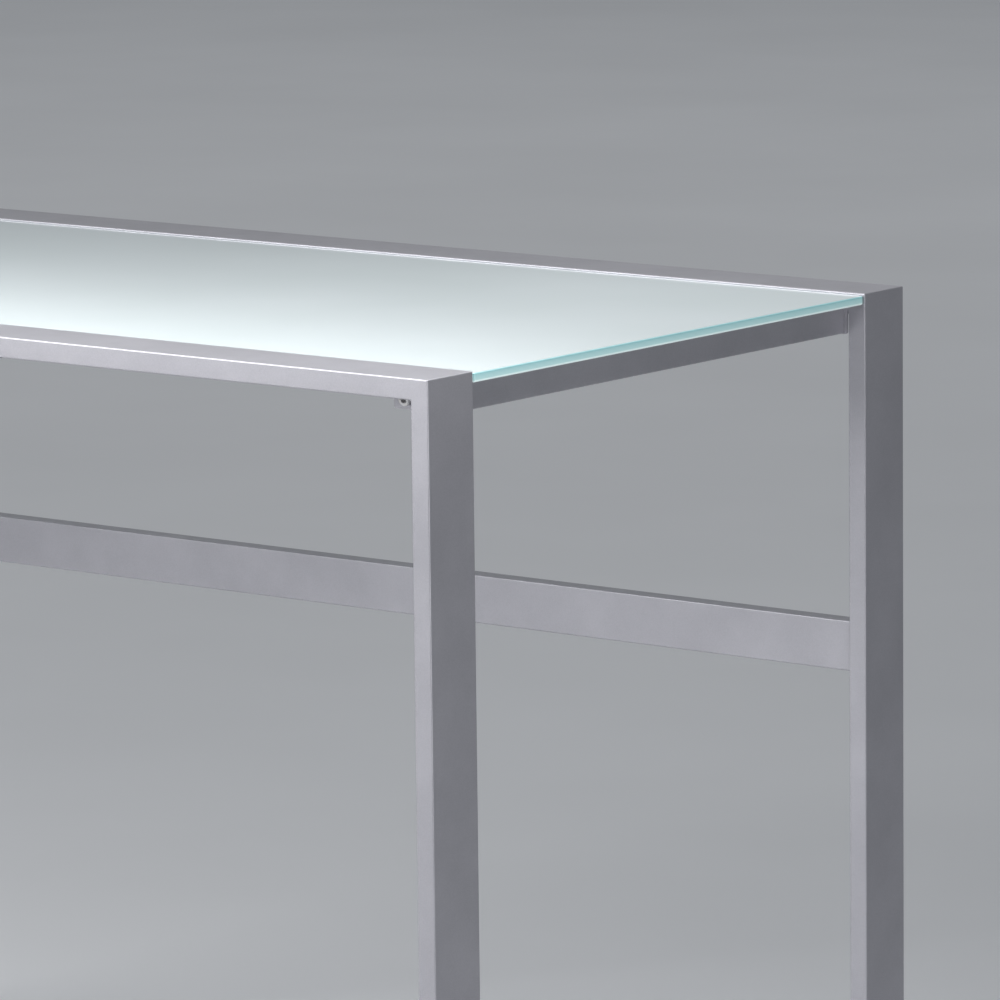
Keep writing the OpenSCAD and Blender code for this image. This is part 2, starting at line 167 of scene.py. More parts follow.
class DeskStudio(bpy.types.PropertyGroup):
    """Floor, light and camera."""

    floor: bpy.props.FloatVectorProperty(
        name="Floor", description="Colour of the floor", default=linear("#e9eaec"), size=4, subtype="COLOR",
    )
    key_power: bpy.props.FloatProperty(
        name="Key light", description="Power of the softbox in front, to the left",
        default=66.0, min=0.0, unit="POWER",
    )
    near_power: bpy.props.FloatProperty(
        name="Edge light", description="Power of the strip over the front rail",
        default=7.0, min=0.0, unit="POWER",
    )
    side_power: bpy.props.FloatProperty(
        name="Side light", description="Power of the small softbox to the right of the front leg",
        default=4.2, min=0.0, unit="POWER",
    )
    top_power: bpy.props.FloatProperty(
        name="Top light", description="Power of the small softbox over the back of the glass",
        default=1.8, min=0.0, unit="POWER",
    )
    far_power: bpy.props.FloatProperty(
        name="Ceiling light", description="Power of the wide light over the floor behind the desk",
        default=85.0, min=0.0, unit="POWER",
    )
    sky: bpy.props.FloatProperty(
        name="Sky", description="Strength of the even light from all round", default=0.29, min=0.0,
    )
    lens: bpy.props.FloatProperty(
        name="Lens", description="Focal length of the camera in millimetres", default=240.8, min=20.0,
    )


def sizes():
    return bpy.context.scene.desk_sizes


def finishes():
    return bpy.context.scene.desk_finishes


def studio():
    return bpy.context.scene.desk_studio


# ------------------------------------------------------------------ surfaces


def arc(centre, radius, start, end, steps=6):
    """Centre plus radius times the cosine and sine of angles that go evenly from start to end, in degrees.

    The points follow each other in the sense of the angles, steps + 1 of them."""
    turn = np.radians(np.linspace(start, end, steps + 1))
    return np.asarray(centre) + radius * np.column_stack([np.cos(turn), np.sin(turn)])


def rounded_rectangle(width, height, radius, steps=6):
    """Four quarter circles round the corner centres, anticlockwise, joined by straight sides."""
    x = width / 2 - radius
    y = height / 2 - radius
    corners = ((x, -y, -90), (x, y, 0), (-x, y, 90), (-x, -y, 180))
    return np.vstack([arc((cx, cy), radius, turn, turn + 90, steps) for cx, cy, turn in corners])


def rings_of(levels):
    """Stacks closed outlines of two columns, each at its own distance along the third."""
    rings = [np.column_stack([outline, np.broadcast_to(along, len(outline))]) for outline, along in levels]
    return np.stack(rings)


def along_axis(rings, axis, centre):
    """Turns (first, second, along) into X, Y, Z round a centre: along is the given axis, and the other two
    follow it in turn."""
    placed = np.empty_like(rings)
    for column, target in enumerate(((axis + 1) % 3, (axis + 2) % 3, axis)):
        placed[..., target] = rings[..., column] + centre[target]
    return placed


def shell(rings, material=0):
    """A grid of closed rings as one closed shell: a quad between each four neighbours, and a flat face on
    each end.

    material is one material index, or one for each band between two rings and then one for each end."""
    rows, columns = rings.shape[:2]
    start = np.arange(rows - 1)[:, None] * columns
    near = np.arange(columns)[None, :]
    far = (near + 1) % columns
    quads = np.stack([start + near, start + far, start + columns + far, start + columns + near], axis=-1)
    ends = np.stack([np.arange(columns)[::-1], (rows - 1) * columns + np.arange(columns)])
    kinds = np.broadcast_to(material, rows + 1)
    kinds = np.append(np.repeat(kinds[:-2], columns), kinds[-2:])
    return rings.reshape(-1, 3), quads.reshape(-1, 4), ends, kinds


def box_of(node):
    """The lowest and the highest corner of a CAD node at rest, as arrays."""
    lo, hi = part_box(node)
    return np.array(lo), np.array(hi)


def make_piece(name, shells, materials, body, stands_for=(), bevel=0.0):
    """Joins closed shells into one mesh, merges their doubles, turns their faces outwards and gives flat
    faces their own normals next to round edges."""
    points, faces, kinds, count = [], [], [], 0
    for shell_points, quads, ends, shell_kinds in shells:
        points.append(shell_points)
        faces += (quads + count).tolist() + (ends + count).tolist()
        kinds.append(shell_kinds)
        count += len(shell_points)
    mesh = bpy.data.meshes.new(name)
    mesh.from_pydata(np.vstack(points).tolist(), [], faces)
    mesh.polygons.foreach_set("material_index", np.concatenate(kinds))
    for material in materials:
        mesh.materials.append(material)
    work = bmesh.new()
    work.from_mesh(mesh)
    bmesh.ops.remove_doubles(work, verts=work.verts, dist=0.002 * MM)
    bmesh.ops.dissolve_degenerate(work, edges=work.edges, dist=0.001 * MM)
    bmesh.ops.recalc_face_normals(work, faces=work.faces)
    work.to_mesh(mesh)
    work.free()
    mesh.shade_smooth()
    mesh.set_sharp_from_angle(angle=math.radians(35))
    piece = bpy.data.objects.new(name, mesh)
    bpy.context.scene.collection.objects.link(piece)
    if bevel:
        edge = piece.modifiers.new("Softened edges", "BEVEL")
        edge.width = bevel
        edge.segments = 2
        edge.limit_method = "ANGLE"
        edge.angle_limit = math.radians(50)
    normals = piece.modifiers.new("Flat faces stay flat", "WEIGHTED_NORMAL")
    normals.keep_sharp = True
    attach(piece, body)
    if stands_for:
        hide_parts(*stands_for)
    return piece


def finish_node(node, material):
    """Gives a CAD node a better material and leaves its shape alone."""
    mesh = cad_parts[node].data
    mesh.materials.clear()
    mesh.materials.append(material)


def cut_tube(box, axis, radius, wall, mouth=14 * MM):
    """A straight tube cut square at both ends: a rounded rectangle carried from deep in one mouth, out over
    its rim, along the outside to the other rim, and in again."""
    lo, hi = box
    size = hi - lo
    width, height = size[(axis + 1) % 3], size[(axis + 2) % 3]
    outer = rounded_rectangle(width, height, radius)
    inner = rounded_rectangle(width - 2 * wall, height - 2 * wall, max(radius - wall, 0.3 * MM))
    half = size[axis] / 2
    levels = [(inner, mouth - half), (inner, -half), (outer, -half)]
    levels += [(outline, -along) for outline, along in reversed(levels)]
    return shell(along_axis(rings_of(levels), axis, (lo + hi) / 2))


def ground_mitre(outline, inner_face, depth, far, radius, outward=1, steps=6):
    """Rings at a mitred tube end whose outer corner is ground round.

    The height q of a point over the tube's inner face is cut to depth - r + r cos(t), and its place along the
    tube to the smaller of far - r + r sin(t) and the mitre plane far - depth + q, for t from 0 to 45 degrees.
    outward is 1 where the outer face is on the positive side of the tube, else -1."""
    levels = []
    for turn in np.radians(np.linspace(0, 45, steps + 1)):
        height = outward * outline[:, inner_face] + depth / 2
        height = np.minimum(height, depth - radius + radius * math.cos(turn))
        along = np.minimum(far - radius + radius * math.sin(turn), far - depth + height)
        cut = outline.copy()
        cut[:, inner_face] = outward * (height - depth / 2)
        levels.append((cut, along))
    return levels


def revolved(profile, centre, axis, direction=1, columns=48, spread=None):
    """A profile of radius and height turned round an axis. spread, where given, changes the radii of a ring
    by angle, and direction is -1 where the heights point down the axis."""
    turn = np.linspace(0, 2 * math.pi, columns, endpoint=False)
    levels = []
    for index, (radius, height) in enumerate(profile):
        reach = np.full(columns, radius) if spread is None else spread(index, radius, turn)
        levels.append((np.column_stack([reach * np.cos(turn), reach * np.sin(turn)]), direction * height))
    return shell(along_axis(rings_of(levels), axis, centre))


def carried_profile(outline, axis, lo, hi, centre):
    """A closed outline carried straight along an axis, from lo to hi."""
    return shell(along_axis(rings_of([(outline, lo), (outline, hi)]), axis, centre))


def bead_round(outline, axis, centre, along, radius, start, step=1.6 * MM):
    """A weld bead round a closed outline: a small circle carried along it, whose radius swells once for each
    step of the torch by a sine of the distance travelled. start is the angle at which the sine begins."""
    loop = np.vstack([outline, outline[:1]])
    travelled = np.concatenate([[0], np.cumsum(np.linalg.norm(np.diff(loop, axis=0), axis=1))])
    count = max(int(travelled[-1] / (step / 4)), 24)
    distance = np.linspace(0, travelled[-1], count, endpoint=False)
    path = np.column_stack([np.interp(distance, travelled, loop[:, side]) for side in (0, 1)])
    tangent = np.roll(path, -1, axis=0) - np.roll(path, 1, axis=0)
    tangent /= np.linalg.norm(tangent, axis=1)[:, None]
    normal = np.column_stack([tangent[:, 1], -tangent[:, 0]])
    ripple = 0.16
    swell = radius * (1 + ripple * np.sin(2 * math.pi * distance / step + start))
    turn = np.linspace(0, 2 * math.pi, 8, endpoint=False)
    offset = swell[:, None] * np.cos(turn)[None, :]
    rings = np.empty((count, len(turn), 3))
    rings[..., :2] = path[:, None, :] + normal[:, None, :] * offset[..., None]
    rings[..., 2] = along + swell[:, None] * np.sin(turn)[None, :]
    placed = along_axis(rings, axis, centre)
    index = np.arange(count)[:, None] * len(turn)
    near = np.arange(len(turn))[None, :]
    far = (near + 1) % len(turn)
    following = (index + len(turn)) % (count * len(turn))
    quads = np.stack([index + near, index + far, following + far, following + near], axis=-1).reshape(-1, 4)
    return placed.reshape(-1, 3), quads, np.zeros((0, 4), int), np.zeros(len(quads), int)


# ------------------------------------------------------------------ materials


def add(tree, kind, links=None, values=None, ramp=None, **settings):
    """Adds a node with its settings, the links into its inputs, their values and the stops of its ramp."""
    node = tree.nodes.new(kind)
    for key, value in settings.items():
        setattr(node, key, value)
    for key, value in (values or {}).items():
        node.inputs[key].default_value = value
    for key, source in (links or {}).items():
        tree.links.new(source, node.inputs[key])
    stops = node.color_ramp.elements if ramp else []
    for _ in range(len(ramp or []) - len(stops)):
        stops.new(0.5)
    for stop, (position, colour) in zip(stops, ramp or []):
        stop.position = position
        stop.color = colour
    return node


def new_material(name, **constants):
    """An empty material, its node tree, its shader with constants on its sockets, and its coordinates."""
    made = bpy.data.materials.new(name)
    made.use_nodes = True
    tree = made.node_tree
    tree.nodes.clear()
    values = {key.replace("_", " "): value for key, value in constants.items()}
    shader = add(tree, "ShaderNodeBsdfPrincipled", values=values)
    add(tree, "ShaderNodeOutputMaterial", {"Surface": shader.outputs["BSDF"]})
    return made, tree, shader, add(tree, "ShaderNodeTexCoord")


def per_metre(size_mm):
    """Texture scale whose features are about size_mm across."""
    return 1 / (size_mm * MM)


def powder_coated_steel():
    """Silver polyester powder coat, sprayed dry and baked."""
    # A satin skin with fine metal flakes: a soft, wide highlight, a faint sparkle, the lightest orange peel.
    colours = finishes()
    made, tree, shader, place = new_material("Silver powder-coated steel", Metallic=0.6)
    here = {"Vector": place.outputs["Object"]}
    # Real flakes are about 0.05 mm: they are drawn at 0.6 mm, which is what shows.
    flakes = add(tree, "ShaderNodeTexVoronoi", here, {"Scale": per_metre(0.6)})
    clouds = add(
        tree, "ShaderNodeTexNoise", here, {"Scale": per_metre(60), "Detail": 3.0, "Roughness": 0.6}
    )
    mixed = add(
        tree, "ShaderNodeMix", {"A": flakes.outputs["Color"], "B": clouds.outputs["Fac"]}, {"Factor": 0.7}
    )
    base = add(
        tree, "ShaderNodeValToRGB", {"Fac": mixed.outputs["Result"]},
        ramp=((0.3, colours.silver_dark), (0.7, colours.silver_light)),
    )
    rough = add(
        tree, "ShaderNodeMapRange", {"Value": flakes.outputs["Color"]}, {"To Min": 0.36, "To Max": 0.44}
    )
    peel = add(tree, "ShaderNodeTexNoise", here, {"Scale": per_metre(2.2), "Detail": 3.0})
    bump = add(tree, "ShaderNodeBump", {"Height": peel.outputs["Fac"]}, {"Distance": 0.012 * MM})
    tree.links.new(base.outputs["Color"], shader.inputs["Base Color"])
    tree.links.new(rough.outputs["Result"], shader.inputs["Roughness"])
    tree.links.new(bump.outputs["Normal"], shader.inputs["Normal"])
    return made


def glass_over_enamel():
    """Tempered float glass with white enamel fired on its back."""
    # A soft white a few millimetres down, slightly green, under a sharp and faintly wavy reflection.
    made, tree, shader, place = new_material("Tempered glass over white enamel", IOR=1.52)
    here = {"Vector": place.outputs["Object"]}
    # Roller waves of tempered glass are about 0.05 mm high and 200 mm long.
    waves = add(
        tree, "ShaderNodeTexNoise", here, {"Scale": per_metre(200), "Detail": 2.0, "Roughness": 0.45}
    )
    base = add(
        tree, "ShaderNodeValToRGB", {"Fac": waves.outputs["Fac"]},
        ramp=((0.3, linear("#dfe9ea")), (0.7, finishes().enamel)),
    )
    rough = add(
        tree, "ShaderNodeMapRange", {"Value": waves.outputs["Fac"]}, {"To Min": 0.02, "To Max": 0.06}
    )
    bump = add(tree, "ShaderNodeBump", {"Height": waves.outputs["Fac"]}, {"Distance": 0.05 * MM})
    tree.links.new(base.outputs["Color"], shader.inputs["Base Color"])
    tree.links.new(rough.outputs["Result"], shader.inputs["Roughness"])
    tree.links.new(bump.outputs["Normal"], shader.inputs["Normal"])
    return made


def polished_glass_edge(lo, hi):
    """Ground and polished edge of green-tinted float glass, between two heights."""
    # Painted glow: deep teal under the top bevel, paler below and nearly white next to the enamel stand
    # for light carried out of the sheet from the lit enamel, over the glass's own green tint; and a painted
    # shade line where the two sides meet in a round corner.
    colours = finishes()
    made, tree, shader, place = new_material(f"Polished glass edge with painted glow at {round(hi / MM)}", IOR=1.52)
    # Painted glow: emission on the edge, standing for light carried out of the sheet from the lit enamel.
    painted_edge_glow = 0.17
    shader.inputs["Emission Strength"].default_value = painted_edge_glow
    here = {"Vector": place.outputs["Object"]}
    height = add(tree, "ShaderNodeSeparateXYZ", here)
    share = add(
        tree, "ShaderNodeMapRange", {"Value": height.outputs["Z"]}, {"From Min": lo, "From Max": hi}
    )
    # Painted light: bands by height, the lit enamel seen through the edge, over the glass's green tint.
    painted_glow_bands = add(
        tree, "ShaderNodeValToRGB", {"Fac": share.outputs["Result"]},
        ramp=(
            (0.0, colours.edge_glow_pale), (0.16, colours.edge_glow_pale), (0.27, linear("#b9dcdc")),
            (0.7, linear("#a8d2d4")), (0.9, colours.edge_glow_deep), (1.0, linear("#b4d6d8")),
        ),
    )
    # Painted shade: a darker line where the normal turns halfway between X and Y, at the round corners.
    facing = add(tree, "ShaderNodeSeparateXYZ", {"Vector": place.outputs["Normal"]})
    both = add(
        tree, "ShaderNodeMath", {0: facing.outputs["X"], 1: facing.outputs["Y"]}, operation="MULTIPLY"
    )
    corner = add(tree, "ShaderNodeMath", {0: both.outputs["Value"]}, operation="ABSOLUTE")
    painted_corner_shade = add(
        tree, "ShaderNodeMapRange", {"Value": corner.outputs["Value"]},
        {"From Min": 0.36, "From Max": 0.5, "To Max": 0.75},
    )
    colour = add(
        tree, "ShaderNodeMix", {0: painted_corner_shade.outputs["Result"], 6: painted_glow_bands.outputs["Color"]},
        {7: linear("#5f8f94")}, data_type="RGBA",
    )
    streaks = add(
        tree, "ShaderNodeTexNoise", here, {"Scale": per_metre(9), "Detail": 3.0, "Roughness": 0.6}
    )
    rough = add(
        tree, "ShaderNodeMapRange", {"Value": streaks.outputs["Fac"]}, {"To Min": 0.08, "To Max": 0.2}
    )
    tree.links.new(colour.outputs[2], shader.inputs["Base Color"])
    # The painted glow takes the colour of the painted bands and the painted corner shade.
    tree.links.new(colour.outputs[2], shader.inputs["Emission Color"])
    tree.links.new(rough.outputs["Result"], shader.inputs["Roughness"])
    return made


def fired_enamel():
    """White ceramic enamel, printed and fired on the underside of the glass."""
    # An even, slightly chalky white with a fine orange peel.
    made, tree, shader, place = new_material("Fired white enamel", Roughness=0.45)
    peel = add(
        tree, "ShaderNodeTexNoise", {"Vector": place.outputs["Object"]},
        {"Scale": per_metre(3), "Detail": 3.0, "Roughness": 0.6},
    )
    base = add(
        tree, "ShaderNodeValToRGB", {"Fac": peel.outputs["Fac"]},
        ramp=((0.3, linear("#dde3e3")), (0.7, linear("#e9eeee"))),
    )
    bump = add(tree, "ShaderNodeBump", {"Height": peel.outputs["Fac"]}, {"Distance": 0.03 * MM})
    tree.links.new(base.outputs["Color"], shader.inputs["Base Color"])
    tree.links.new(bump.outputs["Normal"], shader.inputs["Normal"])
    return made


def zinc_plated_steel():
    """Steel with a bright zinc plate and a clear passivation."""
    # Cold grey metal, a little patchy, partly warm and partly blue.
    made, tree, shader, place = new_material("Zinc-plated steel", Metallic=1.0)
    patches = add(
        tree, "ShaderNodeTexNoise", {"Vector": place.outputs["Object"]},
        {"Scale": per_metre(7), "Detail": 4.0, "Roughness": 0.6},
    )
    base = add(
        tree, "ShaderNodeValToRGB", {"Fac": patches.outputs["Fac"]},
        ramp=((0.3, linear("#b9bcc2")), (0.7, finishes().zinc)),
    )
    rough = add(
        tree, "ShaderNodeMapRange", {"Value": patches.outputs["Fac"]}, {"To Min": 0.22, "To Max": 0.42}
    )
    bump = add(tree, "ShaderNodeBump", {"Height": patches.outputs["Fac"]}, {"Distance": 0.02 * MM})
    tree.links.new(base.outputs["Color"], shader.inputs["Base Color"])
    tree.links.new(rough.outputs["Result"], shader.inputs["Roughness"])
    tree.links.new(bump.outputs["Normal"], shader.inputs["Normal"])
    return made


def bearing_steel():
    """Lapped chrome-steel balls."""
    # A clear mirror with faint lapping marks.
    made, tree, shader, place = new_material("Lapped bearing steel", Metallic=1.0)
    marks = add(
        tree, "ShaderNodeTexNoise", {"Vector": place.outputs["Object"]},
        {"Scale": per_metre(0.6), "Detail": 2.0},
    )
    base = add(
        tree, "ShaderNodeValToRGB", {"Fac": marks.outputs["Fac"]},
        ramp=((0.3, linear("#c4c6c9")), (0.7, linear("#d6d7d9"))),
    )
    rough = add(
        tree, "ShaderNodeMapRange", {"Value": marks.outputs["Fac"]}, {"To Min": 0.06, "To Max": 0.14}
    )
    tree.links.new(base.outputs["Color"], shader.inputs["Base Color"])
    tree.links.new(rough.outputs["Result"], shader.inputs["Roughness"])
    return made


def clear_polyurethane():
    """Soft polyurethane bumpers, moulded clear."""
    # Milky clear and slightly tacky, so the highlight is wide.
    made, tree, shader, place = new_material("Clear polyurethane", IOR=1.47, Transmission_Weight=0.55)
    haze = add(
        tree, "ShaderNodeTexNoise", {"Vector": place.outputs["Object"]},
        {"Scale": per_metre(4), "Detail": 2.0},
    )
    base = add(
        tree, "ShaderNodeValToRGB", {"Fac": haze.outputs["Fac"]},
        ramp=((0.3, linear("#cfd8da")), (0.7, finishes().pad)),
    )
    rough = add(
        tree, "ShaderNodeMapRange", {"Value": haze.outputs["Fac"]}, {"To Min": 0.24, "To Max": 0.4}
    )
    tree.links.new(base.outputs["Color"], shader.inputs["Base Color"])
    tree.links.new(rough.outputs["Result"], shader.inputs["Roughness"])
    return made


def moulded_black(name, grain_mm, smoothest, roughest):
    """Nylon or rubber, moulded black in a spark-eroded tool."""
    # Near black, with a fine even grain that breaks up the highlight.
    made, tree, shader, place = new_material(name, IOR=1.49)
    grain = add(
        tree, "ShaderNodeTexNoise", {"Vector": place.outputs["Object"]},
        {"Scale": per_metre(grain_mm), "Detail": 5.0, "Roughness": 0.7},
    )
    base = add(
        tree, "ShaderNodeValToRGB", {"Fac": grain.outputs["Fac"]},
        ramp=((0.3, finishes().black), (0.7, linear("#252527"))),
    )
    rough = add(
        tree, "ShaderNodeMapRange", {"Value": grain.outputs["Fac"]},
        {"To Min": smoothest, "To Max": roughest},
    )
    bump = add(tree, "ShaderNodeBump", {"Height": grain.outputs["Fac"]}, {"Distance": 0.05 * MM})
    tree.links.new(base.outputs["Color"], shader.inputs["Base Color"])
    tree.links.new(rough.outputs["Result"], shader.inputs["Roughness"])
    tree.links.new(bump.outputs["Normal"], shader.inputs["Normal"])
    return made


def matt_floor():
    """Pale matt paint on a smooth floor."""
    # An even grey with the faintest mottling.
    made, tree, shader, place = new_material("Pale matt floor", Roughness=0.7)
    mottle = add(
        tree, "ShaderNodeTexNoise", {"Vector": place.outputs["Object"]},
        {"Scale": per_metre(700), "Detail": 3.0},
    )
    base = add(
        tree, "ShaderNodeValToRGB", {"Fac": mottle.outputs["Fac"]},
        ramp=((0.3, studio().floor), (0.7, linear("#eeeff1"))),
    )
    tree.links.new(base.outputs["Color"], shader.inputs["Base Color"])
    return made


MATERIALS = {}


def material(kind):
    """Makes each material once, when it is first asked for."""
    makers = {
        "powder": powder_coated_steel,
        "glass": glass_over_enamel,
        "enamel": fired_enamel,
        "zinc": zinc_plated_steel,
        "balls": bearing_steel,
        "clear": clear_polyurethane,
        "nylon": lambda: moulded_black("Moulded black nylon", 0.8, 0.4, 0.6),
        "rubber": lambda: moulded_black("Black rubber", 1.2, 0.6, 0.8),
    }
    if kind not in MATERIALS:
        MATERIALS[kind] = makers[kind]()
    return MATERIALS[kind]


# ------------------------------------------------------------------ desk frame


class DESK_OT_frame_tubes(bpy.types.Operator):
    """Top rails and legs: flat tubes mitred into two frames, welded and ground flush"""

    bl_idname = "desk.frame_tubes"
    bl_label = "Frame tubes"

    def execute(self, context):
        radius = sizes().tube_radius
        far = CAD_BOX[1][0]
        top = CAD_BOX[1][2]
        leg_lo, leg_hi = box_of("front_right_leg")
        depth = leg_hi[0] - leg_lo[0]
        width = leg_hi[1] - leg_lo[1]
        across = rounded_rectangle(width, depth, radius)
        upright = rounded_rectangle(depth, width, radius)
        for node in FRAME_NODES:
            lo, hi = box_of(node)
            centre = np.array([0, (lo[1] + hi[1]) / 2, top - depth / 2])
            end = ground_mitre(across, 1, depth, far, radius)
            levels = [(outline, -along) for outline, along in reversed(end)] + end
            shells = [shell(along_axis(rings_of(levels), 0, centre))]
            for side in (-1, 1):
                inner = side * (far - depth)
                shells.append(corner_weld(inner, centre[1], top - depth, width - 2 * radius, side))
            make_piece(node + "_tube", shells, [material("powder")], "desk", [node])
        for node in LEG_NODES:
            lo, hi = box_of(node)
            side = 1 if lo[0] > 0 else -1
            centre = np.array([side * (far - depth / 2), (lo[1] + hi[1]) / 2, 0])
            levels = [(upright, lo[2])] + ground_mitre(upright, 0, depth, top, radius, side)
            tube = shell(along_axis(rings_of(levels), 2, centre))
            make_piece(node + "_tube", [tube], [material("powder")], "desk", [node])
        return {"FINISHED"}


def corner_weld(x, y, z, length, side):
    """The weld in an inner corner: a hollow quarter circle carried across the tube, whose radius ripples by a
    sine, once for each step of the torch."""
    step = 1.9 * MM
    places = np.linspace(-length / 2, length / 2, 80)
    ripple = sizes().weld_radius * (1 + 0.05 * np.sin(2 * math.pi * places / step))
    quarter = arc((1, 1), 1, 270, 180, 8)
    outline = np.vstack([[[0, 0]], quarter])
    rings = np.empty((len(places), len(outline), 3))
    rings[..., 0] = x - side * ripple[:, None] * outline[None, :, 0]
    rings[..., 1] = y + places[:, None]
    rings[..., 2] = z - ripple[:, None] * outline[None, :, 1]
    return shell(rings)


class DESK_OT_stretcher(bpy.types.Operator):
    """Rear stretcher: a flat tube on edge, welded between the rear legs"""

    bl_idname = "desk.stretcher"
    bl_label = "Rear stretcher"

    def execute(self, context):
        size = sizes()
        lo, hi = box_of("rear_stretcher")
        centre = (lo + hi) / 2
        bar = cut_tube((lo, hi), 0, size.tube_radius, size.tube_wall)
        make_piece(
            "rear_stretcher_tube", [bar], [material("powder")], "desk", ["rear_stretcher"],
        )
        outline = rounded_rectangle(hi[1] - lo[1], hi[2] - lo[2], size.tube_radius)
        half = (hi[0] - lo[0]) / 2
        beads = [bead_round(outline, 0, centre, s * half, size.bead_radius, s) for s in (-1, 1)]
        make_piece("stretcher_welds", beads, [material("powder")], "desk")
        return {"FINISHED"}


class DESK_OT_cross_rails(bpy.types.Operator):
    """Side rails and centre rail, and the welded tabs that they are bolted to"""

    bl_idname = "desk.cross_rails"
    bl_label = "Cross rails and tabs"

    def execute(self, context):
        size = sizes()
        for node in CROSS_RAIL_NODES:
            bar = cut_tube(box_of(node), 1, size.tube_radius, size.tube_wall, mouth=1.5 * MM)
            make_piece(node + "_tube", [bar], [material("powder")], "desk", [node])
        for node in TAB_NODES:
            finish_node(node, material("powder"))
        finish_node("rail_end_plates", material("zinc"))
        return {"FINISHED"}


class DESK_OT_frame_bolts(bpy.types.Operator):
    """Socket head bolts that hold the cross rails to the frames"""

    bl_idname = "desk.frame_bolts"
    bl_label = "Frame bolts"

    def execute(self, context):
        make_piece(
            "frame_socket_bolts", list(socket_bolts()), [material("zinc")], "desk", ["frame_bolts"],
        )
        return {"FINISHED"}


def socket_bolts():
    """Every frame bolt: a profile turned round its axis, with heights from the underside of the head.

    The radius of the knurled rows goes up and down with the sine of 40 times the angle, and the rows of the
    socket follow a hexagon, half its width over the cosine of the angle from the middle of a side."""
    head_r, head_h, shank_r, tip = 5 * MM, 6 * MM, 2.95 * MM, 12.9 * MM
    key, socket_depth, drill_depth = 2.5 * MM, 3 * MM, 3.6 * MM
    knurls, knurl_depth = 40, 0.14 * MM
    profile = [
        (0, -tip), (shank_r - 0.6 * MM, -tip), (shank_r, 0.7 * MM - tip), (shank_r, 0),
        (head_r - 0.2 * MM, 0), (head_r, 0.3 * MM), (head_r, 0.5 * MM), (head_r, head_h - 1.1 * MM),
        (head_r - 0.1 * MM, head_h - 0.6 * MM), (head_r - 0.5 * MM, head_h - 0.1 * MM),
        (head_r - 0.7 * MM, head_h), (key + 0.25 * MM, head_h), (key, head_h - 0.25 * MM),
        (key, head_h - socket_depth), (0, head_h - drill_depth),
    ]
    knurled = (6, 7)
    hexagonal = (11, 12, 13)

    def spread(row, radius, turn):
        if row in knurled:
            return radius - knurl_depth * (1 + np.sin(knurls * turn)) / 2
        if row in hexagonal:
            from_side = np.mod(turn + math.pi / 6, math.pi / 3) - math.pi / 6
            return radius / np.cos(from_side)
        return np.full(len(turn), radius)

    for x, y, z, way in bolt_places():
        yield revolved(profile, (x, y, z), 1, way, 240, spread)


def bolt_places():
    """Two bolts at each end of each cross rail, from the boxes of the tabs and of the bolts."""
    lo, hi = box_of("frame_bolts")
    pitch = 28 * MM
    for node in TAB_NODES:
        tab_lo, tab_hi = box_of(node)
        middle = (tab_lo[0] + tab_hi[0]) / 2
        way = -1 if tab_lo[1] < 0 else 1
        face = tab_lo[1] if way < 0 else tab_hi[1]
        for side in (-1, 1):
            yield middle + side * pitch / 2, face, (lo[2] + hi[2]) / 2, way


# ------------------------------------------------------------------ glass, pads and feet


def glass_slab(node):
    """A sheet with round corners: its outline carried from the enamel, over the lower bevel, up the edge and
    over the upper bevel. The end faces are the enamel and the top. Gives the heights of both too."""
    lo, hi = box_of(node)
    size = sizes()
    arris = size.glass_arris
    width, depth = hi[0] - lo[0], hi[1] - lo[1]
    full = rounded_rectangle(width, depth, size.glass_corner, 10)
    trimmed = rounded_rectangle(width - 2 * arris, depth - 2 * arris, size.glass_corner - arris, 10)
    levels = [(trimmed, lo[2]), (full, lo[2] + arris), (full, hi[2] - arris), (trimmed, hi[2])]
    centre = np.array([(lo[0] + hi[0]) / 2, (lo[1] + hi[1]) / 2, 0])
    top, edge, back = 0, 1, 2
    rings = along_axis(rings_of(levels), 2, centre)
    return shell(rings, material=np.array([edge, edge, edge, back, top])), lo[2], hi[2]


def make_glass(name, node, body):
    """A sheet of glass with its top, its edge and its enamel, standing for a CAD node."""
    slab, lo, hi = glass_slab(node)
    surfaces = [material("glass"), polished_glass_edge(lo, hi), material("enamel")]
    make_piece(name, [slab], surfaces, body, [node])


class DESK_OT_glass_top(bpy.types.Operator):
    """Glass top of the desk, enamelled white on its back"""

    bl_idname = "desk.glass_top"
    bl_label = "Glass top"

    def execute(self, context):
        make_glass("glass_top_sheet", "glass_top", "desk")
        return {"FINISHED"}


class DESK_OT_glass_pads(bpy.types.Operator):
    """Clear pads between the glass and the cross rails"""

    bl_idname = "desk.glass_pads"
    bl_label = "Glass pads"

    def execute(self, context):
        lo, hi = box_of("glass_pads")
        radius, belly = 9 * MM, 1.1 * MM
        height = hi[2] - lo[2]
        rise = np.linspace(0, 1, 9)
        bulge = radius - belly * (1 - np.sqrt(np.maximum(1 - (2 * rise - 1) ** 2, 0)))
        profile = [(0, 0)] + list(zip(bulge, rise * height)) + [(0, height)]
        places = [
            (x, y, lo[2])
            for x in (lo[0] + radius, 0, hi[0] - radius)
            for y in (lo[1] + radius, 0, hi[1] - radius)
        ]
        pads = [revolved(profile, place, 2) for place in places]
        make_piece("glass_support_pads", pads, [material("clear")], "desk", ["glass_pads"])
        return {"FINISHED"}


class DESK_OT_feet(bpy.types.Operator):
    """Glides that close the legs"""

    bl_idname = "desk.feet"
    bl_label = "Feet"

    def execute(self, context):
        cap = 6 * MM
        for node in FOOT_NODES:
            lo, hi = box_of(node)
            glide = plugged_cap(lo, hi, 2, cap, 1, sizes().tube_radius)
            make_piece(node + "_glide", [glide], [material("nylon")], "desk", [node])
        return {"FINISHED"}


